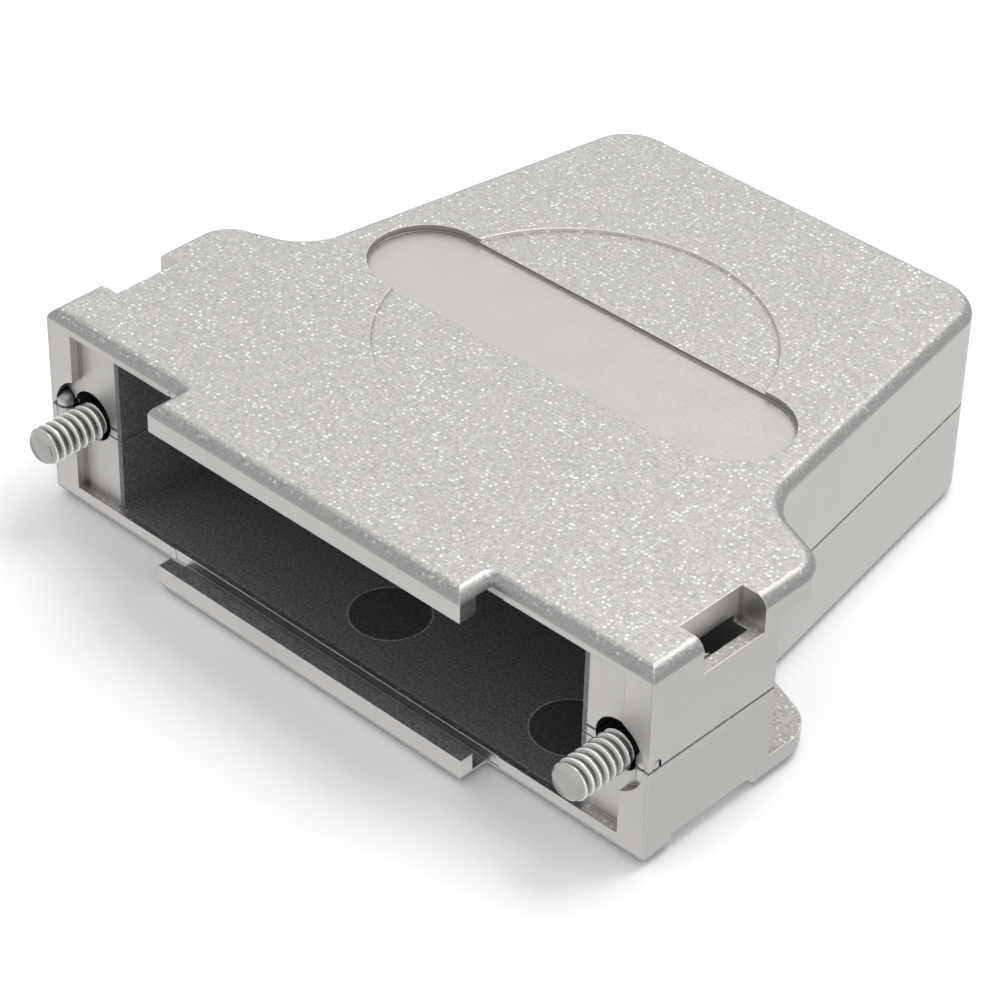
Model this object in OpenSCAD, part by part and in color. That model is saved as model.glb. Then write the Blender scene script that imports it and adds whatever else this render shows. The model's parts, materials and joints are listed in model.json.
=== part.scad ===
// Straight-exit hood for a 25-way D-sub connector: two die-cast half shells,
// two captive jackscrews, two closing screws and a strap that grips the cable.
// X runs across the connector, +Y towards the cable, Z is the height.
// The origin is the middle of the face that the connector flange seats on.

/* [Connector interface] */
// Distance between the two jackscrew axes
screw_spacing = 47.04; // [46:0.01:49]
// From a jackscrew axis in to the side of the mouth
mouth_margin = 2.84; // [2.7:0.02:3.2]
// From a jackscrew axis out to the outer face of the ear
ear_margin = 3.16; // [3:0.02:4]
// Depth of the recessed face round each jackscrew
recess_depth = 0.8; // [0.4:0.1:1.4]
// Width of the raised rim along the outer side of each recess
rim_w = 2.2; // [1.2:0.1:2.4]
// Radius of the round relief that clears the jackscrew in the rim
relief_r = 2.75; // [2.2:0.05:2.9]

/* [Flange lips] */
// Width of the lips that hook over the connector flange
lip_w = 27.5; // [20:0.5:38]
// Reach of the upper lip in front of the seat
upper_lip_reach = 2.7; // [2.2:0.1:4]
// Reach of the lower lip in front of the seat
lower_lip_reach = 2.4; // [2.2:0.1:4]
// Thickness of a lip
lip_t = 2.05; // [1.9:0.05:3]
// Width of the slot that takes the edge of the flange
flange_slot = 1.3; // [0.8:0.1:1.6]
// Skin left between the slot and the outside
slot_skin = 0.75; // [0.6:0.05:1]
// Depth of the floor of the slot behind the seat
slot_set_back = 0.05; // [0.02:0.01:0.2]

/* [Shell] */
// Overall height of the closed hood
overall_h = 15; // [14.4:0.1:18]
// From the seat to the rear face
body_len = 45.4; // [42:0.2:60]
// Width of the body across its rear corners
rear_w = 32; // [31:0.5:36]
// Radius of the two rear corners
rear_corner_r = 3.6; // [2.5:0.1:6]
// Thickness of the upper skin over the cavity
upper_skin = 1.2; // [1.1:0.05:2]
// Thickness of the lower skin under the cavity
lower_skin = 1.5; // [1.1:0.05:2]
// Thickness of the side walls at the rear
wall = 1.5; // [1.2:0.1:2.2]
// Thickness of the rear wall
rear_wall = 2; // [1.4:0.1:3]
// Radius of the rounded outer edges
edge_r = 1; // [0.4:0.1:1.05]
// Width of the joint line between the two halves
joint_gap = 0.08; // [0.02:0.01:0.15]

/* [Ears] */
// From the seat to the back of the ear blocks
ear_depth = 11.4; // [10.8:0.1:13]
// Length of the ear plates at their outer corners
ear_plate_len = 15.5; // [15:0.1:17]
// Thickness of the ear plates
ear_plate_t = 2; // [1.6:0.1:2.4]
// From the seat to where the flared plates meet the body sides
neck_y = 17.9; // [17.6:0.1:22]
// Radius of the outer corners of the ear plates
ear_corner_r = 2.9; // [1:0.1:3]
// Radius of the hollow necks between the plates and the body
neck_r = 4.2; // [2:0.1:5]
// Thickness of the front wall of an ear, behind the recess
front_wall = 2.5; // [2:0.1:3]
// Thickness of the rear wall of an ear, in front of the driver pocket
chamber_wall = 1.9; // [1.2:0.1:2.4]

/* [Edge notches] */
// From the seat to the upper notches
upper_notch_y = 4.4; // [3.8:0.1:5]
// Length of the upper notches
upper_notch_len = 5.6; // [4:0.1:5.8]
// Height of the upper notches
upper_notch_h = 2.5; // [2.1:0.1:3]
// From the seat to the lower notches
lower_notch_y = 2.5; // [2:0.1:3]
// Length of the lower notches
lower_notch_len = 8; // [6:0.1:8.2]
// Height of the lower notches
lower_notch_h = 1.3; // [1:0.1:1.5]
// Depth of all notches from the outer face
notch_in = 2; // [1.4:0.1:2.2]

/* [Registration] */
// Depth of the tabs beside the mouth below the joint line
tab_h = 0.65; // [0.3:0.05:1]
// Width of the tabs
tab_w = 1.25; // [1:0.05:1.4]
// Length of the tabs
tab_len = 8; // [4:0.5:9]
// Radius of the pips at the front corners of the ears
pip_r = 0.7; // [0.5:0.05:0.8]
// Clearance round the tabs, the pips and other sliding parts
fit = 0.1; // [0.05:0.01:0.15]

/* [Label pad] */
// Diameter of the shallow disc in the upper skin
disc_d = 26.7; // [20:0.1:27]
// Depth of the disc
disc_depth = 0.25; // [0.1:0.05:0.35]
// Length of the label pad
pad_len = 35.2; // [27:0.2:36]
// Width of the label pad
pad_w = 8.3; // [5:0.1:12]
// Depth of the label pad
pad_depth = 0.5; // [0.4:0.05:0.7]
// From the seat to the middle of the disc and the pad
pad_y = 22.2; // [21:0.1:26]

/* [Jackscrews] */
// Radius of the thread
thread_r = 1.36; // [1.25:0.01:1.5]
// Radius of the relieved shank behind the thread
shank_r = 1.2; // [1:0.01:1.22]
// Radial play of the thread in its hole
screw_play = 0.43; // [0.2:0.01:0.45]
// Reach of the threaded end in front of the seat
thread_reach = 3.8; // [3:0.1:6]
// Chamfer on the screw tip
tip_chamfer = 0.35; // [0.2:0.05:0.5]
// Radius of the slotted head
head_r = 2.05; // [2:0.01:2.2]
// Length of the slotted head
head_len = 2.8; // [2:0.1:3.2]
// Room between the head and the sides of its chamber
head_play = 0.2; // [0.1:0.05:0.25]
// Thickness of the washer under the head
washer_t = 0.5; // [0.4:0.05:0.8]
// Radius of the driver hole behind the head
driver_hole_r = 1.65; // [1.4:0.05:1.75]

/* [Closing screws] */
// Distance between the two closing screws
closing_spacing = 22; // [20:0.5:24]
// From the rear face in to the closing screws
closing_inset = 6; // [5.5:0.1:7]
// Radius of the closing screws' shanks
closing_r = 1.25; // [1:0.05:1.5]
// Radius of their countersunk heads
closing_head_r = 2.35; // [2.1:0.05:2.5]
// Length of the closing screws
closing_len = 11; // [9:0.5:12]
// Radius of the cast posts round the closing screws
post_r = 2.6; // [2.4:0.1:3]

/* [Cable exit] */
// Radius of the cable outlet
outlet_r = 5; // [3.5:0.1:5.4]
// Radius of the cable way between the saddle and the strap
saddle_r = 4.1; // [3:0.1:4.4]
// From the rear face in to the middle of the strap
strap_inset = 13.5; // [13:0.1:16]
// Width of the strap along the cable
strap_w = 5; // [4:0.1:6]
// Thickness of the strap
strap_t = 1.2; // [0.8:0.1:1.4]
// Distance between the two strap screws
strap_spacing = 17; // [16.6:0.1:18.4]
// Height of the strap's flat ends above the joint line
strap_z = 1.5; // [1.2:0.1:1.6]
// Free travel of the strap down its screws
strap_travel = 2.4; // [1:0.1:2.5]
// Radius of the strap screws' shanks
strap_screw_r = 1.25; // [1:0.05:1.4]
// Length of the strap screws under their heads
strap_screw_len = 8; // [6:0.1:8.2]
// Radius of the strap screws' heads
strap_head_r = 2.1; // [1.8:0.05:2.3]
// Height of the strap screws' heads
strap_head_h = 1.5; // [1.2:0.1:2]
// Radius of the cast towers under the strap ends
tower_r = 2.3; // [2:0.1:2.4]
// Width of the driver slots in the screw heads
slot_w = 0.6; // [0.4:0.05:0.8]
// Depth of the driver slots
slot_depth = 0.8; // [0.5:0.05:1]

/* [Hidden] */
$fn = 64;
eps = 0.01;
LEFT = -1;
RIGHT = 1;
// Just under 1: the rounding meets the flat faces at a faint angle, not at a tangent.
edge_blend = 0.98;
// Arcs are this much wider, so that they cross the sides and don't just touch them.
blend = 0.01;
// Angle by which the rounding of an inner arc laps over the sides.
inner_lap = 8;

half_h = overall_h / 2;
screw_x = screw_spacing / 2;
ear_x = screw_x + ear_margin;
mouth_x = screw_x - mouth_margin;
chamber_half_w = head_r + head_play;
chamber_front = recess_depth + front_wall;
chamber_rear = ear_depth - chamber_wall;
// The body sides start behind the ear blocks, flush with their inner walls.
side_front_x = screw_x - chamber_half_w + 0.3;
side_slope = (rear_w / 2 - side_front_x) / (body_len - ear_depth);
function side_x(y) = side_front_x + side_slope * (y - ear_depth);

// The threads lie at the bottom of their holes when the screws are drawn back.
screw_hole_r = thread_r + screw_play;
screw_z = fit / 2 - screw_play;
head_y = chamber_front + washer_t + fit;
pip_top = tab_h / 2;

closing_x = closing_spacing / 2;
closing_y = body_len - closing_inset;
closing_top = closing_len - half_h;
strap_x = strap_spacing / 2;
strap_y = body_len - strap_inset;
strap_top = strap_z + strap_t;
tower_top = strap_z - strap_travel - fit;
strap_screw_bottom = strap_top + fit / 2 - strap_screw_len;

// ---- outlines with rounded corners, listed counterclockwise as [x, y, radius] ----

function unit(v) = v / norm(v);
function flat(q) = [q.x, q.y];
// Outward normal of the side from p to q.
function normal(p, q) = let (e = unit(flat(q) - flat(p))) [e.y, -e.x];
function direction(v) = atan2(v.y, v.x);
function last(i, n) = (i + n - 1) % n;
function next(i, n) = (i + 1) % n;
// True where the outline turns outwards round a corner.
function is_convex(a, p, b) = cross(flat(p) - flat(a), flat(b) - flat(p)) > 0;
function half_angle(a, p, b) = acos(unit(flat(a) - flat(p)) * unit(flat(b) - flat(p))) / 2;
// From a corner to where its arc starts.
function setback(a, p, b) = p.z / tan(half_angle(a, p, b));
function arc_centre(a, p, b) = flat(p) +
    unit(unit(flat(a) - flat(p)) + unit(flat(b) - flat(p))) * p.z / sin(half_angle(a, p, b));
// A half outline on +X, joined to its mirror image.
function both_sides(half) = concat(half,
    [for (i = [len(half) - 1:-1:0]) [-half[i].x, half[i].y, half[i].z]]);

function plate_path(reach) = both_sides([
    [lip_w / 2, -reach, 0],
    [lip_w / 2, 0, 0],
    [ear_x, 0, 0],
    [ear_x, ear_plate_len, ear_corner_r],
    [side_x(neck_y), neck_y, neck_r],
    [rear_w / 2, body_len, rear_corner_r]]);
cavity_path = both_sides([
    [mouth_x, -1, 0],
    [mouth_x, ear_depth, 0],
    [rear_w / 2 - wall, body_len - rear_wall, rear_corner_r - wall]]);

// The sliver between a sharp corner and its arc.
module corner_sliver(a, p, b) {
    centre = arc_centre(a, p, b);
    start = setback(a, p, b);
    difference() {
        polygon([flat(p) + (flat(p) - centre) / 4,
            flat(p) + unit(flat(a) - flat(p)) * start,
            centre,
            flat(p) + unit(flat(b) - flat(p)) * start]);
        translate(centre) circle(r = p.z + blend);
    }
}

module outline(path) {
    n = len(path);
    corners = [for (i = [0:n - 1]) if (path[i].z > 0) [path[last(i, n)], path[i], path[next(i, n)]]];
    difference() {
        polygon([for (q = path) flat(q)]);
        for (c = corners) if (is_convex(c[0], c[1], c[2])) corner_sliver(c[0], c[1], c[2]);
    }
    for (c = corners) if (!is_convex(c[0], c[1], c[2])) corner_sliver(c[0], c[1], c[2]);
}

// Section of what the rounding takes off an edge: x is outwards, y is up.
module edge_section() {
    difference() {
        translate([-edge_r, -edge_r]) square(edge_r + 1);
        translate([-edge_r, -edge_r] * edge_blend) circle(r = edge_r);
    }
}

// How far the cut along a side runs on past the end of the side, round corner p.
function overrun(a, p, b) = is_convex(a, p, b) ? edge_r : 0;

// Takes the rounding off the upper edge of an outline.
module edge_rounding(path) {
    n = len(path);
    for (i = [0:n - 1]) {
        a = path[last(i, n)];
        p = path[i];
        b = path[next(i, n)];
        c = path[(i + 2) % n];
        // the side from p to b
        from = setback(a, p, b) - overrun(a, p, b);
        to = setback(p, b, c) - overrun(p, b, c);
        translate(flat(b) - unit(flat(b) - flat(p)) * to)
            rotate([90, 0, direction(normal(p, b))])
            linear_extrude(norm(flat(b) - flat(p)) - from - to) edge_section();
        // the corner at p; outer corners without an arc are mitred
        turn = 180 - 2 * half_angle(a, p, b);
        if (is_convex(a, p, b) && p.z > 0)
            translate(arc_centre(a, p, b)) rotate(direction(normal(a, p)))
                rotate_extrude(angle = turn) translate([p.z + blend, 0]) edge_section();
        if (!is_convex(a, p, b)) {
            lap = p.z > 0 ? inner_lap : 0;
            translate(arc_centre(a, p, b)) rotate(direction(-normal(p, b)) - lap)
                rotate_extrude(angle = turn + 2 * lap) intersection() {
                    translate([p.z > 0 ? p.z + blend : 0, 0]) mirror([1, 0]) edge_section();
                    translate([0, -edge_r]) square([p.z + edge_r + 1, edge_r + 1]);
                }
        }
    }
}

// A bar along +Y, from y0 to y1.
module along_y(r, y0, y1) {
    translate([0, y0, 0]) rotate([-90, 0, 0]) cylinder(r = r, h = y1 - y0);
}

module on_side(side) {
    mirror([side < 0 ? 1 : 0, 0, 0]) children();
}

module on_both_sides() {
    for (side = [LEFT, RIGHT]) on_side(side) children();
}

// ---- one half shell, above the joint line ----

// Solid plate with its lip and its rounded outer edge.
module half_blank(reach) {
    difference() {
        translate([0, 0, joint_gap / 2]) linear_extrude(half_h - joint_gap / 2)
            outline(plate_path(reach));
        translate([0, 0, half_h]) edge_rounding(plate_path(reach));
    }
}

// Clears the space under the lip, and the slot behind it for the flange.
module lip_cut(reach) {
    translate([-lip_w / 2 - 1, -reach - 1, 0])
        cube([lip_w + 2, reach + 1, half_h - lip_t]);
    translate([-lip_w / 2 - 1, -flange_slot, 0])
        cube([lip_w + 2, flange_slot + slot_set_back, half_h - slot_skin]);
}

// Recessed face between the mouth and the outer rim, with a relief round the screw.
module ear_recess(skin) {
    translate([mouth_x - 1, -1, 0])
        cube([ear_x - rim_w - mouth_x + 1, recess_depth + 1, half_h - skin]);
    translate([screw_x, 0, 0]) along_y(relief_r, -1, recess_depth);
}

// Hole for the thread, chamber for the head and hole for the driver.
module jackscrew_way() {
    translate([screw_x, 0, 0]) {
        along_y(screw_hole_r, 0, chamber_front + eps);
        along_y(driver_hole_r, chamber_rear - eps, ear_depth + 1);
        translate([-chamber_half_w, chamber_front, -1])
            cube([2 * chamber_half_w, chamber_rear - chamber_front,
                half_h - ear_plate_t + 1]);
    }
}

// Open pocket behind the ear block, between the flared plates.
module driver_pocket() {
    end = body_len - rear_corner_r - 1;
    linear_extrude(half_h - ear_plate_t)
        polygon([[side_x(ear_depth), ear_depth], [ear_x + 1, ear_depth],
            [ear_x + 1, end], [side_x(end), end]]);
}

module edge_notch(y, length, height) {
    translate([ear_x - notch_in, y, half_h - height])
        cube([notch_in + 1, length, height + 1]);
}

// A half shell with everything that the two halves share.
module half_shell(reach, skin, notch) {
    difference() {
        half_blank(reach);
        linear_extrude(half_h - skin) outline(cavity_path);
        lip_cut(reach);
        on_both_sides() {
            ear_recess(skin);
            jackscrew_way();
            driver_pocket();
            edge_notch(notch[0], notch[1], notch[2]);
        }
        along_y(outlet_r, body_len - rear_wall - 1, body_len + 1);
    }
    // posts for the closing screws
    on_both_sides() translate([closing_x, closing_y, joint_gap / 2])
        cylinder(r = post_r, h = half_h - skin / 2 - joint_gap / 2);
}

// ---- registration features ----

// Tab of the upper shell that reaches down beside the mouth; grow makes its slot.
module tab(grow = 0) {
    open = grow > 0 ? 1 : 0;
    translate([mouth_x - open, recess_depth - open, -tab_h - grow])
        cube([tab_w + grow + open, tab_len + grow + open, tab_h + grow + joint_gap]);
}

// Domed pip of the lower shell at the front corner of an ear; grow makes its socket.
module pip(grow = 0) {
    translate([ear_x - pip_r, pip_r, -1]) cylinder(r = pip_r + grow, h = 1 + pip_top);
    translate([ear_x - pip_r, pip_r, pip_top]) sphere(r = pip_r + grow);
}

// ---- the pieces ----

// Shallow disc with a stadium-shaped pad across it, for a label.
module label_recess() {
    ends = (pad_len - pad_w) / 2;
    translate([0, pad_y, half_h - disc_depth]) cylinder(d = disc_d, h = 1, $fn = 96);
    translate([0, pad_y, half_h - pad_depth]) linear_extrude(1) {
        square([2 * ends, pad_w], center = true);
        translate([-ends, 0]) circle(d = pad_w);
        translate([ends, 0]) circle(d = pad_w);
    }
}

module upper_shell() {
    color([0.80, 0.79, 0.77]) difference() {
        union() {
            half_shell(upper_lip_reach, upper_skin,
                [upper_notch_y, upper_notch_len, upper_notch_h]);
            on_both_sides() tab();
        }
        label_recess();
        on_both_sides() {
            jackscrew_way();
            pip(fit);
            // blind hole for the end of the closing screw
            translate([closing_x, closing_y, -1])
                cylinder(r = closing_r + fit / 2, h = closing_top + 1.5);
        }
    }
}

// Rib with a round seat for the cable, between the towers of the strap screws.
module saddle() {
    floor_z = -half_h + lower_skin / 2;
    rib_top = tower_top - 0.4;
    difference() {
        translate([-strap_x, strap_y - strap_w / 2, floor_z])
            cube([strap_spacing, strap_w, rib_top - floor_z]);
        along_y(saddle_r, strap_y - strap_w, strap_y + strap_w);
    }
    on_both_sides() translate([strap_x, strap_y, floor_z])
        cylinder(r = tower_r, h = tower_top - floor_z);
}

module lower_shell() {
    color([0.74, 0.73, 0.71]) difference() {
        union() {
            mirror([0, 0, 1]) half_shell(lower_lip_reach, lower_skin,
                [lower_notch_y, lower_notch_len, lower_notch_h]);
            saddle();
            on_both_sides() pip();
        }
        on_both_sides() {
            tab(fit);
            translate([closing_x, closing_y, -half_h - 1])
                cylinder(r = closing_r + fit, h = half_h + 2);
            // countersink
            translate([closing_x, closing_y, -half_h])
                cylinder(r1 = closing_head_r + fit, r2 = closing_r + fit,
                    h = closing_head_r - closing_r);
            translate([strap_x, strap_y, strap_screw_bottom - 0.2])
                cylinder(r = strap_screw_r + fit / 2, h = half_h);
        }
    }
}

// Thread with a chamfered tip in front of the seat, a relieved shank behind it, and a
// slotted cheese head behind the washer.
module jackscrew(side) {
    head_end = head_y + head_len;
    color([0.86, 0.86, 0.84]) translate([side * screw_x, 0, screw_z]) difference() {
        union() {
            along_y(thread_r, tip_chamfer - thread_reach, 0);
            along_y(shank_r, -eps, head_y + eps);
            translate([0, tip_chamfer - thread_reach, 0]) rotate([90, 0, 0])
                cylinder(r1 = thread_r, r2 = thread_r - tip_chamfer, h = tip_chamfer);
            along_y(head_r, head_y, head_end);
        }
        translate([-head_r - 1, head_end - slot_depth, -slot_w / 2])
            cube([2 * head_r + 2, slot_depth + 1, slot_w]);
    }
}

module washer(side) {
    color([0.70, 0.70, 0.68]) translate([side * screw_x, chamber_front + fit / 2, screw_z])
        difference() {
            along_y(head_r, 0, washer_t);
            along_y(thread_r + fit / 2, -1, washer_t + 1);
        }
}

// Countersunk screw that enters from below, with a crossed driver recess.
module closing_screw(side) {
    cone = closing_head_r - closing_r;
    color([0.62, 0.62, 0.60]) translate([side * closing_x, closing_y, -half_h])
        difference() {
            union() {
                cylinder(r1 = closing_head_r, r2 = closing_r, h = cone);
                cylinder(r = closing_r, h = closing_len);
            }
            for (turn = [0, 90]) rotate([0, 0, turn])
                translate([-closing_r, -slot_w / 2, -1])
                    cube([2 * closing_r, slot_w, 1 + slot_depth]);
        }
}

// Steel strap, bent up over the cable, with a hole at each flat end.
module cable_strap() {
    end_x = strap_x + strap_w / 2;
    color([0.66, 0.66, 0.65]) difference() {
        translate([0, strap_y + strap_w / 2, 0]) rotate([90, 0, 0]) linear_extrude(strap_w)
            difference() {
                union() {
                    translate([-end_x, strap_z]) square([2 * end_x, strap_t]);
                    circle(r = saddle_r + strap_t);
                }
                circle(r = saddle_r);
                translate([-end_x - 1, -half_h]) square([2 * end_x + 2, half_h + strap_z]);
            }
        on_both_sides() translate([strap_x, strap_y, strap_z - 1])
            cylinder(r = strap_screw_r + fit, h = strap_t + 2);
    }
}

module strap_screw(side) {
    color([0.62, 0.62, 0.60]) translate([side * strap_x, strap_y, strap_top + fit / 2])
        difference() {
            union() {
                cylinder(r = strap_head_r, h = strap_head_h);
                translate([0, 0, -strap_screw_len])
                    cylinder(r = strap_screw_r, h = strap_screw_len + eps);
            }
            translate([-strap_head_r - 1, -slot_w / 2, strap_head_h - slot_depth])
                cube([2 * strap_head_r + 2, slot_w, slot_depth + 1]);
        }
}

upper_shell();
lower_shell();
jackscrew(LEFT);  // left_jackscrew
jackscrew(RIGHT);  // right_jackscrew
washer(LEFT);  // left_washer
washer(RIGHT);  // right_washer
closing_screw(LEFT);  // left_closing_screw
closing_screw(RIGHT);  // right_closing_screw
cable_strap();
strap_screw(LEFT);  // left_strap_screw
strap_screw(RIGHT);  // right_strap_screw
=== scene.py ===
"""Dresses the D-sub hood: cast shells, threaded jackscrews, steel hardware and a white stage."""
import json
import math

import bmesh
import bpy
from mathutils import Matrix, Vector


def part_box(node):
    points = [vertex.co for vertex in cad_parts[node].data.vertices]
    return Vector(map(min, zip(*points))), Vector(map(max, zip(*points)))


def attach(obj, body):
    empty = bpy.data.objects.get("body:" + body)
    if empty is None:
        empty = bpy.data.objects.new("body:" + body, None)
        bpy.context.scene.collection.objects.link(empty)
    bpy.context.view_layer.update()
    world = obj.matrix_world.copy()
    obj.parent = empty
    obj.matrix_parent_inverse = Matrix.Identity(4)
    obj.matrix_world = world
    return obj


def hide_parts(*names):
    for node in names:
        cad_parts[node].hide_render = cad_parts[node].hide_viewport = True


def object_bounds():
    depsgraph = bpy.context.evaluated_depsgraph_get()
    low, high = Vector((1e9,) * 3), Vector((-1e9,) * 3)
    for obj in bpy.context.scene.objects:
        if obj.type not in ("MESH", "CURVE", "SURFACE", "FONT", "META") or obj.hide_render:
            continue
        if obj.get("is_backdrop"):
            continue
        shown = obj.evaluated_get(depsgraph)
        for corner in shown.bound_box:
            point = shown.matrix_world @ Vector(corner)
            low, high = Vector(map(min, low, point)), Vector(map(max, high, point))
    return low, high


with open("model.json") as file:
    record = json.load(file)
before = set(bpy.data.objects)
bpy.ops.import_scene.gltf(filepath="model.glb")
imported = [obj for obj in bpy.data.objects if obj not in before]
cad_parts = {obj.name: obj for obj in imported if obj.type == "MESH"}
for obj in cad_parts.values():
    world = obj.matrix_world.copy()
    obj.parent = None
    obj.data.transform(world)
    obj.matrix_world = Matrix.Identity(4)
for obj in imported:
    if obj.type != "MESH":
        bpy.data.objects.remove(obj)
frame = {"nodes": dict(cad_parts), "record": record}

bl_info = {
    "name": "D-sub hood looks",
    "version": (1, 0, 0),
    "blender": (4, 5, 0),
    "location": "View3D > Sidebar > Hood",
    "description": "Gives a die-cast connector hood its materials, threads and stage",
    "category": "Object",
}

MM = 0.001
SHELL_NODES = ("upper_shell", "lower_shell")
SCREW_SIDES = ("left", "right")
STEEL_NODES = ("left_washer", "right_washer", "cable_strap")
FASTENER_NODES = ("left_closing_screw", "right_closing_screw", "left_strap_screw",
                  "right_strap_screw")

# Places on the shells that the cast material follows.
CAVITY_FRONT, CAVITY_END = 0.4 * MM, 43.7 * MM
CAVITY_HALF_H = 6.42 * MM
CAVITY_HALF_W = 21.1 * MM
# the cavity narrows by this share of the way behind the ear blocks
CAVITY_TAPER, EAR_BACK = 0.18, 11.4 * MM
LIP_FRONT, LIP_BACK = -2.35 * MM, 0.06 * MM
LIP_HALF_W, LIP_HALF_H = 13.74 * MM, 6.8 * MM
PAD_Y, PAD_FLOOR = 22.2 * MM, 7.0 * MM
PAD_HALF_LEN, PAD_HALF_W = 17.7 * MM, 4.2 * MM
DISC_INNER, DISC_OUTER = 13.0 * MM, 13.7 * MM
DISC_FLOOR = 6.9 * MM
EAR_SIDE = 26.4 * MM
CAVITY_FLOOR = -5.9 * MM
MARK_SPACING, MARK_RADIUS, MARK_Y = 16 * MM, 2.7 * MM, 5.3 * MM

# Widths over which one look passes into the next.
HARD, SOFT = 0.05 * MM, 0.1 * MM

# Painted light: glints on the grain's specks, and highlights on the edges of the shells, of the
# cavity and of the steel.
EDGE_HIGHLIGHT = (0.97, 0.96, 0.95, 1.0)
SPARKLE = (1.0, 0.99, 0.98, 1.0)
INNER_EDGE_HIGHLIGHT = (0.8, 0.8, 0.79, 1.0)
STEEL_EDGE_HIGHLIGHT = (0.96, 0.96, 0.95, 1.0)

THREAD_LAP = 1.0 * MM
WELD = 0.001 * MM
LAMP_SIZE = 0.2
LAMP_PLACE = (0.05, 0.15, 0.35)
FLOOR_HALF = 2.0
FLOOR_MIRRORED = 0.92


# ---- settings ----

class HoodCastSettings(bpy.types.PropertyGroup):
    """Look of the die-cast, plated shells."""
    tone: bpy.props.FloatVectorProperty(
        name="Tone", description="Colour of the plated skin", subtype="COLOR", size=3,
        default=(0.575, 0.56, 0.545), min=0, max=1)
    # the dark inner tone is partly a duller casting and partly painted shade of the enclosed
    # cavity
    inner_tone: bpy.props.FloatVectorProperty(
        name="Inner tone", description="Colour of the bare casting inside", subtype="COLOR",
        size=3, default=(0.21, 0.206, 0.21), min=0, max=1)
    roughness: bpy.props.FloatProperty(
        name="Roughness", description="Roughness of the plated skin", default=0.42, min=0,
        max=1, subtype="FACTOR")
    grain: bpy.props.FloatProperty(
        name="Grain", description="Width of the blasted grain", default=0.2 * MM,
        unit="LENGTH", precision=6)
    # the bright specks are painted glints of the grain
    speck: bpy.props.FloatProperty(
        name="Speck", description="Spacing of the bright specks", default=0.33 * MM,
        unit="LENGTH", precision=6)
    relief: bpy.props.FloatProperty(
        name="Relief", description="Height of the grain", default=0.03 * MM,
        unit="LENGTH", precision=6)
    # this radius rounds the edges' normals and sets the width of their painted highlight
    edge: bpy.props.FloatProperty(
        name="Edge", description="Radius of the polished edges", default=0.12 * MM,
        unit="LENGTH", precision=6)


def steel_colour(name, description, default):
    """A colour setting for one kind of steel piece."""
    return bpy.props.FloatVectorProperty(
        name=name, description=description, subtype="COLOR", size=3, default=default,
        min=0, max=1)


class HoodSteelSettings(bpy.types.PropertyGroup):
    """Colours of the steel pieces."""
    strap: steel_colour("Strap", "Colour of the strap and the washers", (0.58, 0.58, 0.57))
    fastener: steel_colour("Fastener", "Colour of the small screws", (0.45, 0.45, 0.44))
    jackscrew: steel_colour("Jackscrew", "Colour of the jackscrews", (0.44, 0.435, 0.42))


class HoodThreadSettings(bpy.types.PropertyGroup):
    """Form of the jackscrews' threads."""
    pitch: bpy.props.FloatProperty(
        name="Pitch", description="Distance from crest to crest", default=0.635 * MM,
        unit="LENGTH", precision=6)
    depth: bpy.props.FloatProperty(
        name="Depth", description="Depth from crest to root", default=0.3 * MM,
        unit="LENGTH", precision=6)
    chamfer: bpy.props.FloatProperty(
        name="Chamfer", description="Chamfer on the tip", default=0.35 * MM,
        unit="LENGTH", precision=6)
    around: bpy.props.IntProperty(
        name="Around", description="Points in one turn", default=72, min=12)
    along: bpy.props.IntProperty(
        name="Along", description="Points in one pitch", default=18, min=6)


class HoodStageSettings(bpy.types.PropertyGroup):
    """Camera, lamps and floor."""
    azimuth: bpy.props.FloatProperty(
        name="Azimuth", description="Turn of the camera about the vertical",
        default=math.radians(42.78), subtype="ANGLE")
    elevation: bpy.props.FloatProperty(
        name="Elevation", description="Height of the camera as an angle",
        default=math.radians(36.56), subtype="ANGLE")
    roll: bpy.props.FloatProperty(
        name="Roll", description="Tilt of the picture", default=math.radians(-1.55),
        subtype="ANGLE")
    lens: bpy.props.FloatProperty(
        name="Lens", description="Focal length", default=125.24, unit="CAMERA")
    distance: bpy.props.FloatProperty(
        name="Distance", description="From the camera to its aim", default=217.66 * MM,
        unit="LENGTH", precision=5)
    aim: bpy.props.FloatVectorProperty(
        name="Aim", description="Point in the middle of the picture", size=3,
        default=(5.654 * MM, 9.302 * MM, 4.028 * MM), subtype="TRANSLATION", precision=5)
    sky: bpy.props.FloatProperty(
        name="Sky", description="Level of the soft light from all round", default=0.9, min=0)
    lamp: bpy.props.FloatProperty(
        name="Lamp", description="Power of the large soft lamp overhead", default=0.5,
        min=0, unit="POWER", precision=3)


# ---- shader helpers ----

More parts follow.
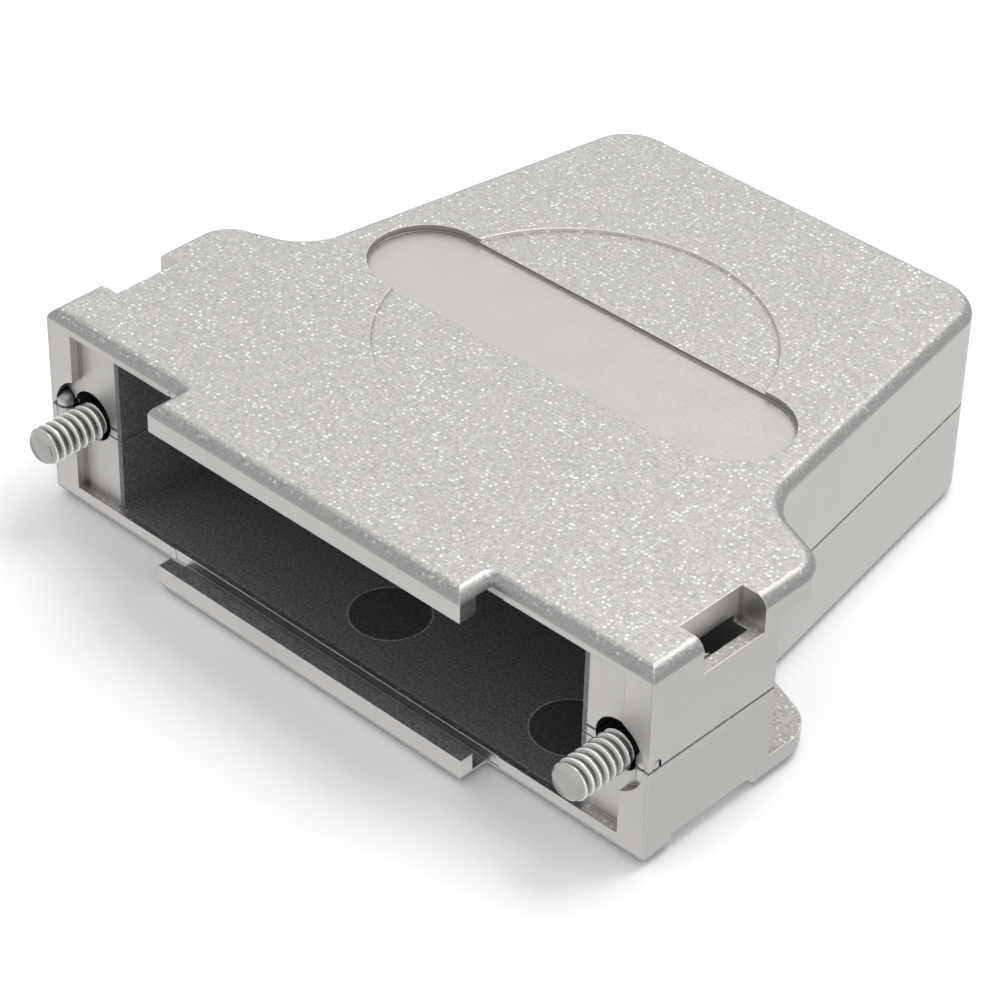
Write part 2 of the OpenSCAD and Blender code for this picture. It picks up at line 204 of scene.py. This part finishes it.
class Nodes:
    """Adds and links nodes in a tree, with short calls."""

    def __init__(self, tree):
        self.tree = tree
        self.tree.nodes.clear()

    def add(self, kind, inputs=None, **settings):
        """Adds a node, sets its settings, and links or sets its inputs."""
        made = self.tree.nodes.new(kind)
        for name, value in settings.items():
            setattr(made, name, value)
        for key, value in (inputs or {}).items():
            self.feed(made.inputs[key], value)
        return made

    def feed(self, socket, value):
        """Links an output to a socket, or sets the socket's value."""
        if isinstance(value, bpy.types.NodeSocket):
            self.tree.links.new(value, socket)
        else:
            socket.default_value = value

    def math(self, operation, a, b=0.0, clamp=False):
        """One Math node; returns its output."""
        made = self.add("ShaderNodeMath", {0: a, 1: b}, operation=operation)
        made.use_clamp = clamp
        return made.outputs[0]

    def product(self, first, *rest):
        """All values multiplied."""
        for value in rest:
            first = self.math("MULTIPLY", first, value)
        return first

    def length(self, a, b):
        """Length of the way a along one axis and b along another."""
        return self.math("SQRT", self.math("ADD", self.math("MULTIPLY", a, a),
                                           self.math("MULTIPLY", b, b)))

    def group(self, tree, **inputs):
        """A group node, with its inputs linked or set; returns its outputs."""
        made = self.add("ShaderNodeGroup", node_tree=tree)
        for name, value in inputs.items():
            self.feed(made.inputs[name], value)
        return made.outputs

    def scaled(self, colour, level):
        """A colour times a level."""
        made = self.add("ShaderNodeVectorMath", {0: colour}, operation="SCALE")
        self.feed(made.inputs["Scale"], level)
        return made.outputs[0]

    def inside(self, value, low, high, soft):
        """1 where value lies between low and high, with soft edges."""
        up = self.ramp(value, low, low + soft)
        down = self.ramp(value, high - soft, high)
        return self.math("MULTIPLY", up, self.math("SUBTRACT", 1.0, down))

    def ramp(self, value, low, high, to_low=0.0, to_high=1.0):
        """Maps low to high onto to_low to to_high, clamped."""
        made = self.add("ShaderNodeMapRange",
                        {"Value": value, "From Min": low, "From Max": high,
                         "To Min": to_low, "To Max": to_high})
        return made.outputs[0]

    def mix(self, share, a, b):
        """Mixes two colours."""
        made = self.add("ShaderNodeMix", {0: share}, data_type="RGBA")
        self.feed(made.inputs[6], a)
        self.feed(made.inputs[7], b)
        return made.outputs[2]


def new_group(name, inputs, outputs):
    """An empty shader group with its sockets, and its input and output nodes."""
    tree = bpy.data.node_groups.new(name, "ShaderNodeTree")
    nodes = Nodes(tree)
    for label, kind, default in inputs:
        socket = tree.interface.new_socket(name=label, in_out="INPUT", socket_type=kind)
        if default is not None:
            socket.default_value = default
    for label, kind in outputs:
        tree.interface.new_socket(name=label, in_out="OUTPUT", socket_type=kind)
    return tree, nodes, nodes.add("NodeGroupInput"), nodes.add("NodeGroupOutput")


def uneven_plating():
    """Group: slow changes in tone and gloss, as on any plated surface."""
    if "uneven plating" in bpy.data.node_groups:
        return bpy.data.node_groups["uneven plating"]
    tree, n, given, out = new_group(
        "uneven plating",
        [("Vector", "NodeSocketVector", None), ("Patch", "NodeSocketFloat", 3 * MM)],
        [("Tone", "NodeSocketFloat"), ("Gloss", "NodeSocketFloat")])
    scale = n.math("DIVIDE", 1.0, given.outputs["Patch"])
    slow = n.add("ShaderNodeTexNoise", {"Vector": given.outputs["Vector"], "Scale": scale,
                                        "Detail": 3.0})
    fine = n.add("ShaderNodeTexNoise", {"Vector": given.outputs["Vector"],
                                        "Scale": n.math("MULTIPLY", scale, 9.0),
                                        "Detail": 2.0})
    tone = n.math("ADD", n.ramp(slow.outputs[0], 0.3, 0.7, 0.98, 1.02),
                  n.ramp(fine.outputs[0], 0.3, 0.7, -0.02, 0.02))
    n.feed(out.inputs["Tone"], tone)
    n.feed(out.inputs["Gloss"], n.ramp(fine.outputs[0], 0.3, 0.7, -0.05, 0.05))
    return tree


def grain_and_glints():
    """Group: grain of a blasted casting, with bright specks, which are painted glints."""
    tree, n, given, out = new_group(
        "grain and glints",
        [("Vector", "NodeSocketVector", None), ("Grain", "NodeSocketFloat", 0.3 * MM),
         ("Speck", "NodeSocketFloat", 0.5 * MM)],
        [("Tone", "NodeSocketFloat"), ("Specks", "NodeSocketFloat"),
         ("Height", "NodeSocketFloat")])
    at = given.outputs["Vector"]
    grain = n.add("ShaderNodeTexNoise",
                  {"Vector": at, "Scale": n.math("DIVIDE", 1.0, given.outputs["Grain"]),
                   "Detail": 3.0, "Roughness": 0.6})
    cells = n.add("ShaderNodeTexVoronoi",
                  {"Vector": at, "Scale": n.math("DIVIDE", 1.0, given.outputs["Speck"])})
    speck = n.ramp(cells.outputs["Distance"], 0.22, 0.42, 1.0, 0.0)
    shine = n.math("POWER", n.ramp(cells.outputs["Color"], 0.3, 0.75), 1.8)
    cluster = n.add("ShaderNodeTexNoise",
                    {"Vector": at, "Scale": n.math("DIVIDE", 0.25, given.outputs["Speck"])})
    chosen = n.math("MULTIPLY", shine, n.ramp(cluster.outputs[0], 0.35, 0.6, 0.5, 1.0))
    n.feed(out.inputs["Tone"], n.ramp(grain.outputs[0], 0.3, 0.7, 0.74, 1.12))
    n.feed(out.inputs["Specks"], n.math("MULTIPLY", speck, chosen))
    n.feed(out.inputs["Height"], grain.outputs[0])
    return tree


def new_material(name):
    """A material with an empty tree, an output and a metallic Principled shader."""
    material = bpy.data.materials.new(name)
    material.use_nodes = True
    n = Nodes(material.node_tree)
    shader = n.add("ShaderNodeBsdfPrincipled", {"Metallic": 1.0})
    n.add("ShaderNodeOutputMaterial", {"Surface": shader.outputs[0]})
    return material, n, shader


def object_point(n):
    """Object coordinates and their three parts."""
    point = n.add("ShaderNodeTexCoord").outputs["Object"]
    parts = n.add("ShaderNodeSeparateXYZ", {0: point})
    return point, parts.outputs[0], parts.outputs[1], parts.outputs[2]


def edge_normal_and_highlight():
    """Group: the rounded normal of sharp edges, and 1 where it leaves the face's own, where the
    painted edge highlight goes.
    """
    if "edge normal and highlight" in bpy.data.node_groups:
        return bpy.data.node_groups["edge normal and highlight"]
    tree, n, given, out = new_group(
        "edge normal and highlight", [("Radius", "NodeSocketFloat", 0.1 * MM)],
        [("Normal", "NodeSocketVector"), ("Edges", "NodeSocketFloat")])
    bevel = n.add("ShaderNodeBevel", {"Radius": given.outputs["Radius"]}, samples=6)
    own = n.add("ShaderNodeNewGeometry").outputs["Normal"]
    dot = n.add("ShaderNodeVectorMath", {0: bevel.outputs[0], 1: own},
                operation="DOT_PRODUCT").outputs["Value"]
    n.feed(out.inputs["Normal"], bevel.outputs[0])
    n.feed(out.inputs["Edges"], n.ramp(dot, 0.985, 0.86))
    return tree


def crevice_shade():
    """Group: 1 in the open, less in corners and grooves, for painted shade there."""
    if "crevice_shade" in bpy.data.node_groups:
        return bpy.data.node_groups["crevice_shade"]
    tree, n, given, out = new_group(
        "crevice_shade", [("Darkest", "NodeSocketFloat", 0.35)], [("Open", "NodeSocketFloat")])
    share = n.add("ShaderNodeAmbientOcclusion", {"Distance": 0.45 * MM}, samples=6)
    n.feed(out.inputs["Open"], n.ramp(share.outputs["AO"], 0.35, 0.85,
                                      given.outputs["Darkest"], 1.0))
    return tree


def ejector_marks(n, x, y, z):
    """Two round marks on the cavity floor: darker discs with a light rim."""
    nearest = n.math("ROUND", n.math("DIVIDE", x, MARK_SPACING))
    across = n.math("SUBTRACT", x, n.math("MULTIPLY", n.math(
        "MAXIMUM", nearest, 0.0), MARK_SPACING))
    far = n.length(across, n.math("SUBTRACT", y, MARK_Y))
    disc = n.ramp(far, MARK_RADIUS - HARD, MARK_RADIUS + HARD, 0.45, 1.0)
    rim = n.inside(far, MARK_RADIUS - 0.02 * MM, MARK_RADIUS + 0.14 * MM, HARD)
    mark = n.math("ADD", disc, n.math("MULTIPLY", rim, 1.2))
    on_floor = n.ramp(z, CAVITY_FLOOR, CAVITY_FLOOR + SOFT, 1.0, 0.0)
    return n.math("ADD", 1.0, n.math("MULTIPLY", on_floor, n.math("SUBTRACT", mark, 1.0)))


def cavity_mask(n, across, y, high, level):
    """1 where the dark inner colour goes: the cavity, a duller casting darkened further by
    painted shade, and the lips' faces towards the flange, painted dark as the shade that they
    reflect.
    """
    taper = n.math("MULTIPLY", n.math("MAXIMUM", n.math(
        "SUBTRACT", y, EAR_BACK), 0.0), CAVITY_TAPER)
    room = n.math("SUBTRACT", n.math("SUBTRACT", CAVITY_HALF_W, taper), across)
    cavity = n.product(n.ramp(room, 0, SOFT),
                       n.inside(y, CAVITY_FRONT, CAVITY_END, 3 * SOFT),
                       n.ramp(high, CAVITY_HALF_H, CAVITY_HALF_H - 0.06 * MM))
    lips = n.product(n.ramp(across, LIP_HALF_W, LIP_HALF_W - 0.04 * MM),
                     n.inside(y, LIP_FRONT, LIP_BACK, 0.02 * MM),
                     n.ramp(high, LIP_HALF_H, LIP_HALF_H - 0.04 * MM),
                     n.ramp(level, 0.6, 0.8))
    return n.math("MAXIMUM", cavity, lips)


def pad_mask(n, across, y, z):
    """1 on the floor of the label pad, which is smooth."""
    off_floor = n.math("ABSOLUTE", n.math("SUBTRACT", z, PAD_FLOOR))
    return n.product(n.ramp(across, PAD_HALF_LEN, PAD_HALF_LEN - 2 * SOFT),
                     n.inside(y, PAD_Y - PAD_HALF_W, PAD_Y + PAD_HALF_W, SOFT),
                     n.ramp(off_floor, SOFT, HARD))


def label_walls(n, x, across, y, z, steep):
    """Shade of the walls round the label: the pad's look dark, the disc's catch light."""
    along = n.math("SUBTRACT", y, PAD_Y)
    reach = PAD_HALF_W + SOFT
    near_pad = n.product(n.inside(along, -reach, reach, HARD),
                         n.ramp(across, PAD_HALF_LEN + SOFT, PAD_HALF_LEN))
    wall = n.product(steep, n.ramp(z, DISC_FLOOR, DISC_FLOOR + HARD))
    disc_wall = n.product(wall, n.inside(n.length(along, x), DISC_INNER, DISC_OUTER, SOFT),
                          n.math("SUBTRACT", 1.0, near_pad))
    return n.product(n.ramp(n.product(near_pad, wall), 0.0, 1.0, 1.0, 0.55),
                     n.ramp(disc_wall, 0.0, 1.0, 1.0, 1.7))


def cast_material(cast):
    """Nickel-plated zinc: blasted grain above and below, satin sides, bare inside; with painted
    glints, painted edge highlights, and painted shade and light in places.
    """
    material, n, shader = new_material("cast shell")
    point, x, y, z = object_point(n)
    across = n.math("ABSOLUTE", x)
    high = n.math("ABSOLUTE", z)
    normal = n.add("ShaderNodeTexCoord").outputs["Normal"]
    level = n.math("ABSOLUTE", n.add("ShaderNodeSeparateXYZ", {0: normal}).outputs[2])
    cavity = cavity_mask(n, across, y, high, level)
    on_pad = pad_mask(n, across, y, z)
    grainy = n.product(n.ramp(level, 0.25, 0.7, 0.12, 1.0), n.math("SUBTRACT", 1.0, on_pad))
    rounding = n.product(n.ramp(level, 0.1, 0.35), n.ramp(level, 0.99, 0.85))
    steep = n.ramp(level, 0.5, 0.1)
    # painted shade in corners and grooves
    open_share = n.group(crevice_shade())["Open"]
    shade = n.product(
        # painted shade darkens the rounded edges, and painted light brightens the walls a little
        n.ramp(rounding, 0.0, 1.0, 1.0, 0.62), n.ramp(steep, 0.0, 1.0, 1.0, 1.12),
        # painted shade: the lower half a little darker, and the outer sides of the ears
        n.ramp(z, -10 * SOFT, 0.0, 0.94, 1.0),
        n.ramp(across, EAR_SIDE, EAR_SIDE + 2 * SOFT, 1.0, 0.9),
        label_walls(n, x, across, y, z, steep),
        # painted shadow: a fine dark line in the gap where the halves meet
        n.ramp(high, 0.07 * MM, 0.13 * MM, 0.15, 1.0), open_share)
    grain = n.group(grain_and_glints(), Vector=point, Grain=cast.grain, Speck=cast.speck)
    plating = n.group(uneven_plating(), Vector=point)
    grain_tone = n.math("ADD", 1.0, n.math("MULTIPLY", grainy, n.math(
        "SUBTRACT", grain["Tone"], 1.0)))
    skin = n.scaled(tuple(cast.tone), n.product(grain_tone, plating["Tone"], shade))
    # painted glints: the specks shine on the flats above and below, less on the rounded edges,
    # not on the walls
    specks = n.product(grain["Specks"], grainy, n.ramp(level, 0.2, 0.7),
                       n.ramp(rounding, 0.0, 1.0, 1.0, 0.35))
    rounded_lit_edges = n.group(edge_normal_and_highlight(), Radius=cast.edge)
    colour = n.mix(specks, skin, SPARKLE)
    # painted highlight on the edges that stand in the open
    colour = n.mix(n.product(rounded_lit_edges["Edges"], open_share, 0.4), colour, EDGE_HIGHLIGHT)
    # the cavity's dark tone is partly a duller casting and partly painted shade of the enclosed
    # cavity
    inner = n.scaled(tuple(cast.inner_tone), n.product(
        ejector_marks(n, x, y, z), n.ramp(grain["Tone"], 0.8, 1.1, 0.6, 1.4)))
    # painted highlight on the cavity's edges
    bare = n.mix(n.math("MULTIPLY", rounded_lit_edges["Edges"], 0.25), inner, INNER_EDGE_HIGHLIGHT)
    n.feed(shader.inputs["Base Color"], n.mix(cavity, colour, bare))
    n.feed(shader.inputs["Metallic"], n.ramp(cavity, 0.0, 1.0, 1.0, 0.5))
    n.feed(shader.inputs["Roughness"], n.math(
        "ADD", n.math("ADD", cast.roughness, plating["Gloss"]),
        n.math("MULTIPLY", cavity, 0.25)))
    bump = n.add("ShaderNodeBump", {"Strength": n.math("MULTIPLY", grainy, 0.8),
                                    "Distance": cast.relief, "Height": grain["Height"],
                                    "Normal": rounded_lit_edges["Normal"]})
    n.feed(shader.inputs["Normal"], bump.outputs[0])
    return material


def crest_highlight_and_groove_shade(n, x, y, z, screw):
    """Above 1 on the crests of a thread, a painted highlight, and below 1 in its grooves,
    painted shade.
    """
    across = n.math("SUBTRACT", n.math("ABSOLUTE", x), screw["axis_x"])
    far = n.length(across, n.math("SUBTRACT", z, screw["axis_z"]))
    behind_tip = n.ramp(y, screw["tip_y"] + 3 * SOFT, screw["tip_y"] + 4 * SOFT)
    top = screw["crest_r"]
    crest = n.ramp(far, top - 0.08 * MM, top - 0.02 * MM, 0.0, 1.1)
    groove = n.ramp(far, top - 0.3 * MM, top - 0.12 * MM, 0.55, 0.0)
    return n.math("ADD", 1.0, n.math("MULTIPLY", behind_tip,
                                     n.math("SUBTRACT", crest, groove)))


def steel_material(name, tone, roughness, scratch, screw=None):
    """Plated steel with fine scratches along Y; a screw's thread gets a painted highlight on its
    crests and painted shade in its grooves.
    """
    material, n, shader = new_material(name)
    point, x, y, z = object_point(n)
    plating = n.group(uneven_plating(), Vector=point, Patch=1.5 * MM)
    # painted shade in the grooves and corners
    level = n.product(plating["Tone"], n.group(crevice_shade(), Darkest=0.45)["Open"])
    # painted highlight on the thread's crests, painted shade in its grooves
    if screw:
        level = n.product(level, crest_highlight_and_groove_shade(n, x, y, z, screw))
    # painted highlight on the steel's edges
    edges = n.group(edge_normal_and_highlight(), Radius=0.06 * MM)["Edges"]
    n.feed(shader.inputs["Base Color"], n.mix(n.math("MULTIPLY", edges, 0.5),
                                              n.scaled(tuple(tone), level), STEEL_EDGE_HIGHLIGHT))
    n.feed(shader.inputs["Roughness"], n.math("ADD", roughness, plating["Gloss"]))
    # scratches ten times as long as they are wide
    stretched = n.add("ShaderNodeMapping", {"Vector": point, "Scale": (9000, 900, 9000)})
    lines = n.add("ShaderNodeTexNoise", {"Vector": stretched.outputs[0], "Scale": 1.0})
    bump = n.add("ShaderNodeBump", {"Strength": scratch, "Distance": 0.01 * MM,
                                    "Height": lines.outputs[0]})
    n.feed(shader.inputs["Normal"], bump.outputs[0])
    return material


def dress(node, material):
    """Puts a material on every slot of a CAD node."""
    mesh = frame["nodes"][node].data
    if not mesh.materials:
        mesh.materials.append(material)
    for index in range(len(mesh.materials)):
        frame["nodes"][node].material_slots[index].material = material


# ---- threads ----

def thread_tree():
    """Geometry Nodes tree: a threaded bar along +Y, made from a rolled-up grid."""
    tree = bpy.data.node_groups.new("threaded bar", "GeometryNodeTree")
    n = Nodes(tree)
    for name, kind in (("Crest radius", "Float"), ("Root depth", "Float"),
                       ("Pitch", "Float"), ("Start", "Float"), ("Length", "Float"),
                       ("Chamfer", "Float"), ("Points around", "Int"),
                       ("Points along", "Int")):
        tree.interface.new_socket(name=name, in_out="INPUT",
                                  socket_type="NodeSocket" + kind)
    tree.interface.new_socket(name="Material", in_out="INPUT",
                              socket_type="NodeSocketMaterial")
    tree.interface.new_socket(name="Geometry", in_out="OUTPUT",
                              socket_type="NodeSocketGeometry")
    given = n.add("NodeGroupInput").outputs
    grid = n.add("GeometryNodeMeshGrid",
                 {"Size X": 1.0, "Size Y": given["Length"],
                  "Vertices X": given["Points around"],
                  "Vertices Y": given["Points along"]})
    at = n.add("ShaderNodeSeparateXYZ", {0: n.add("GeometryNodeInputPosition").outputs[0]})
    turn = n.math("ADD", at.outputs[0], 0.5)
    along = n.math("ADD", at.outputs[1], n.math("MULTIPLY", given["Length"], 0.5))
    # right-handed: the crest moves along +Y as the angle grows about +Y
    phase = n.math("FRACT", n.math("SUBTRACT", n.math("DIVIDE", along, given["Pitch"]), turn))
    flank = n.math("ABSOLUTE", n.math("SUBTRACT", n.math("MULTIPLY", phase, 2.0), 1.0))
    # broad rounded crests and narrow roots, as on a rolled thread
    fall = n.ramp(flank, 0.05, 0.97)
    fall = n.math("MULTIPLY", fall, n.math("SQRT", fall))
    threaded = n.math("SUBTRACT", given["Crest radius"],
                      n.math("MULTIPLY", fall, given["Root depth"]))
    tip = n.math("ADD", n.math("SUBTRACT", given["Crest radius"], given["Chamfer"]), along)
    run_out = n.math("ADD", n.math("SUBTRACT", given["Crest radius"],
                                   n.math("MULTIPLY", given["Root depth"], 0.5)),
                     n.math("SUBTRACT", given["Length"], along))
    radius = n.math("MINIMUM", n.math("MINIMUM", threaded, tip), run_out)
    angle = n.math("MULTIPLY", turn, math.tau)
    place = n.add("ShaderNodeCombineXYZ",
                  {0: n.math("MULTIPLY", radius, n.math("SINE", angle)),
                   1: n.math("ADD", along, given["Start"]),
                   2: n.math("MULTIPLY", radius, n.math("COSINE", angle))})
    rolled = n.add("GeometryNodeSetPosition",
                   {"Geometry": grid.outputs[0], "Position": place.outputs[0]})
    closed = n.add("GeometryNodeMergeByDistance",
                   {"Geometry": rolled.outputs[0], "Distance": WELD})
    smooth = n.add("GeometryNodeSetShadeSmooth", {"Geometry": closed.outputs[0]})
    real = n.add("GeometryNodeRealizeInstances", {"Geometry": smooth.outputs[0]})
    painted = n.add("GeometryNodeSetMaterial",
                    {"Geometry": real.outputs[0], "Material": given["Material"]})
    out = n.add("NodeGroupOutput")
    n.feed(out.inputs[0], painted.outputs[0])
    return tree


def threaded_bar(name, tree, values):
    """Plain mesh of the tree's bar, with its ends left open."""
    holder = bpy.data.objects.new(name, bpy.data.meshes.new(name))
    bpy.context.scene.collection.objects.link(holder)
    modifier = holder.modifiers.new("Threaded bar", "NODES")
    modifier.node_group = tree
    for item in tree.interface.items_tree:
        if item.in_out == "INPUT":
            modifier[item.identifier] = values[item.name]
    depsgraph = bpy.context.evaluated_depsgraph_get()
    mesh = bpy.data.meshes.new_from_object(holder.evaluated_get(depsgraph))
    bpy.data.objects.remove(holder)
    return mesh


def jackscrew_mesh(node, tree, thread, material):
    """The node's own shank and head, with a real thread in place of its plain end."""
    low, high = (Vector(corner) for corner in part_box(node))
    source = frame["nodes"][node].data
    middle = (low + high) / 2
    crest = record_mount("jackscrews")["dims"]["stud_r_mm"] * MM
    # the thread runs on a little way into the ear's recess
    length = THREAD_LAP - low.y
    bar = threaded_bar(node + "_bar", tree, {
        "Crest radius": crest, "Root depth": thread.depth, "Pitch": thread.pitch,
        "Start": low.y, "Length": length, "Chamfer": thread.chamfer,
        "Points around": thread.around + 1,
        "Points along": int(thread.along * length / thread.pitch),
        "Material": material})
    made = bmesh.new()
    made.from_mesh(source)
    bmesh.ops.bisect_plane(made, geom=made.verts[:] + made.edges[:] + made.faces[:],
                           plane_co=(0, THREAD_LAP - SOFT, 0), plane_no=(0, 1, 0),
                           clear_inner=True)
    bmesh.ops.holes_fill(made, edges=[e for e in made.edges if e.is_boundary])
    rest = bpy.data.meshes.new(node + "_rest")
    made.to_mesh(rest)
    made.free()
    both = bmesh.new()
    both.from_mesh(bar)
    bmesh.ops.translate(both, verts=both.verts, vec=(middle.x, 0, middle.z))
    bmesh.ops.holes_fill(both, edges=[e for e in both.edges if e.is_boundary])
    both.from_mesh(rest)
    bmesh.ops.recalc_face_normals(both, faces=both.faces)
    mesh = bpy.data.meshes.new(node + "_threaded")
    both.to_mesh(mesh)
    both.free()
    mesh.materials.clear()
    mesh.materials.append(material)
    mesh.polygons.foreach_set("material_index", [0] * len(mesh.polygons))
    return mesh


def record_mount(name):
    """The record's mount of that name."""
    for mount in frame["record"]["mounts"]:
        if mount["name"] == name:
            return mount
    raise LookupError("no mount " + name)


# ---- operators ----

class HOOD_OT_shells(bpy.types.Operator):
    """Give both half shells their cast and plated look"""
    bl_idname = "hood.shells"
    bl_label = "Dress the Shells"

    def execute(self, context):
        material = cast_material(context.scene.hood_cast)
        for node in SHELL_NODES:
            dress(node, material)
        return {"FINISHED"}


class HOOD_OT_hardware(bpy.types.Operator):
    """Give the washers, the strap and the small screws their plated look"""
    bl_idname = "hood.hardware"
    bl_label = "Dress the Hardware"

    def execute(self, context):
        steel = context.scene.hood_steel
        strap = steel_material("zinc strip", steel.strap, 0.33, 0.5)
        screw = steel_material("dark plated screw", steel.fastener, 0.28, 0.3)
        for node in STEEL_NODES:
            dress(node, strap)
        for node in FASTENER_NODES:
            dress(node, screw)
        return {"FINISHED"}


class HOOD_OT_jackscrews(bpy.types.Operator):
    """Build the jackscrews with real threads"""
    bl_idname = "hood.jackscrews"
    bl_label = "Build the Jackscrews"

    def execute(self, context):
        low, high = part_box("right_jackscrew")
        screw = {"axis_x": (low.x + high.x) / 2, "axis_z": (low.z + high.z) / 2,
                 "tip_y": low.y,
                 "crest_r": record_mount("jackscrews")["dims"]["stud_r_mm"] * MM}
        material = steel_material("nickel screw", context.scene.hood_steel.jackscrew,
                                  0.24, 0.3, screw)
        tree = thread_tree()
        for side in SCREW_SIDES:
            node = side + "_jackscrew"
            mesh = jackscrew_mesh(node, tree, context.scene.hood_thread, material)
            piece = bpy.data.objects.new(node + "_threaded", mesh)
            context.scene.collection.objects.link(piece)
            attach(piece, node)
            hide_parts(node)
        return {"FINISHED"}


class HOOD_OT_stage(bpy.types.Operator):
    """Set up the camera, the soft light and the white floor"""
    bl_idname = "hood.stage"
    bl_label = "Set the Stage"

    def execute(self, context):
        stage = context.scene.hood_stage
        place_camera(context, stage)
        light_world(context, stage)
        place_lamp(context, stage)
        lay_floor(context)
        return {"FINISHED"}


# ---- stage ----

def place_camera(context, stage):
    """Camera on a ball round its aim, with a slight roll."""
    az, el, roll = stage.azimuth, stage.elevation, stage.roll
    across = Vector((math.cos(az), math.sin(az), 0))
    ahead = Vector((-math.sin(az) * math.cos(el), math.cos(az) * math.cos(el),
                    -math.sin(el)))
    down = ahead.cross(across)
    right = math.cos(roll) * across + math.sin(roll) * down
    below = -math.sin(roll) * across + math.cos(roll) * down
    data = bpy.data.cameras.new("camera")
    data.lens = stage.lens
    data.sensor_width = 36
    data.clip_start = 0.01
    data.clip_end = 20
    camera = bpy.data.objects.new("camera", data)
    turn = Matrix((right, -below, -ahead)).transposed().to_4x4()
    camera.matrix_world = Matrix.Translation(
        Vector(stage.aim) - ahead * stage.distance) @ turn
    context.scene.collection.objects.link(camera)
    context.scene.camera = camera


def light_world(context, stage):
    """White to the eye and in reflections, and a plain level of light on all else."""
    world = bpy.data.worlds.new("studio")
    world.use_nodes = True
    n = Nodes(world.node_tree)
    path = n.add("ShaderNodeLightPath").outputs
    seen = n.math("ADD", path["Is Camera Ray"], path["Is Glossy Ray"])
    seen = n.math("ADD", seen, path["Is Transmission Ray"], clamp=True)
    level = n.ramp(seen, 0.0, 1.0, stage.sky, 1.0)
    background = n.add("ShaderNodeBackground", {"Color": (1, 1, 1, 1), "Strength": level})
    n.add("ShaderNodeOutputWorld", {"Surface": background.outputs[0]})
    context.scene.world = world
    context.scene.view_settings.view_transform = "Standard"


def place_lamp(context, stage):
    """One large soft lamp above and behind."""
    data = bpy.data.lights.new("overhead", "AREA")
    data.shape = "DISK"
    data.size = LAMP_SIZE
    data.energy = stage.lamp
    lamp = bpy.data.objects.new("overhead", data)
    lamp.location = LAMP_PLACE
    lamp.rotation_euler = (-lamp.location).to_track_quat("-Z", "Y").to_euler()
    context.scene.collection.objects.link(lamp)


def lay_floor(context):
    """Wide white floor just under the hood."""
    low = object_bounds()[0]
    made = bmesh.new()
    corners = [made.verts.new((x * FLOOR_HALF, y * FLOOR_HALF, low[2]))
               for x, y in ((-1, -1), (1, -1), (1, 1), (-1, 1))]
    made.faces.new(corners)
    mesh = bpy.data.meshes.new("floor")
    made.to_mesh(mesh)
    made.free()
    material = bpy.data.materials.new("paper")
    material.use_nodes = True
    n = Nodes(material.node_tree)
    point = n.add("ShaderNodeTexCoord").outputs["Object"]
    fibre = n.add("ShaderNodeTexNoise", {"Vector": point, "Scale": 4000.0})
    shader = n.add("ShaderNodeBsdfPrincipled", {"Base Color": (1, 1, 1, 1)})
    n.feed(shader.inputs["Roughness"], n.ramp(fibre.outputs[0], 0.3, 0.7, 0.85, 0.95))
    mirrored = n.add("ShaderNodeEmission", {"Strength": FLOOR_MIRRORED})
    surface = n.add("ShaderNodeMixShader",
                    {0: n.add("ShaderNodeLightPath").outputs["Is Glossy Ray"],
                     1: shader.outputs[0], 2: mirrored.outputs[0]})
    n.add("ShaderNodeOutputMaterial", {"Surface": surface.outputs[0]})
    mesh.materials.append(material)
    floor = bpy.data.objects.new("floor", mesh)
    context.scene.collection.objects.link(floor)
    floor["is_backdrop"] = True


# ---- add-on ----

class HOOD_PT_panel(bpy.types.Panel):
    """Steps of the hood's dressing"""
    bl_label = "Hood"
    bl_idname = "HOOD_PT_panel"
    bl_space_type = "VIEW_3D"
    bl_region_type = "UI"
    bl_category = "Hood"

    def draw(self, context):
        for holder in SETTINGS:
            box = self.layout.box()
            settings = getattr(context.scene, holder)
            for name in settings.__annotations__:
                box.prop(settings, name)
        for operator in OPERATORS:
            self.layout.operator(operator.bl_idname)


SETTINGS = {"hood_cast": HoodCastSettings, "hood_steel": HoodSteelSettings,
            "hood_thread": HoodThreadSettings, "hood_stage": HoodStageSettings}
OPERATORS = (HOOD_OT_shells, HOOD_OT_hardware, HOOD_OT_jackscrews, HOOD_OT_stage)


def register():
    """Adds the settings, the operators and the panel."""
    for name, settings in SETTINGS.items():
        bpy.utils.register_class(settings)
        setattr(bpy.types.Scene, name, bpy.props.PointerProperty(type=settings))
    for made in OPERATORS + (HOOD_PT_panel,):
        bpy.utils.register_class(made)


def unregister():
    """Takes them away again."""
    for made in reversed(OPERATORS + (HOOD_PT_panel,)):
        bpy.utils.unregister_class(made)
    for name, settings in SETTINGS.items():
        delattr(bpy.types.Scene, name)
        bpy.utils.unregister_class(settings)


def main():
    """Runs every step in order."""
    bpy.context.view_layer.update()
    register()
    bpy.ops.hood.shells()
    bpy.ops.hood.hardware()
    bpy.ops.hood.jackscrews()
    bpy.ops.hood.stage()


if __name__ == "__main__":
    main()
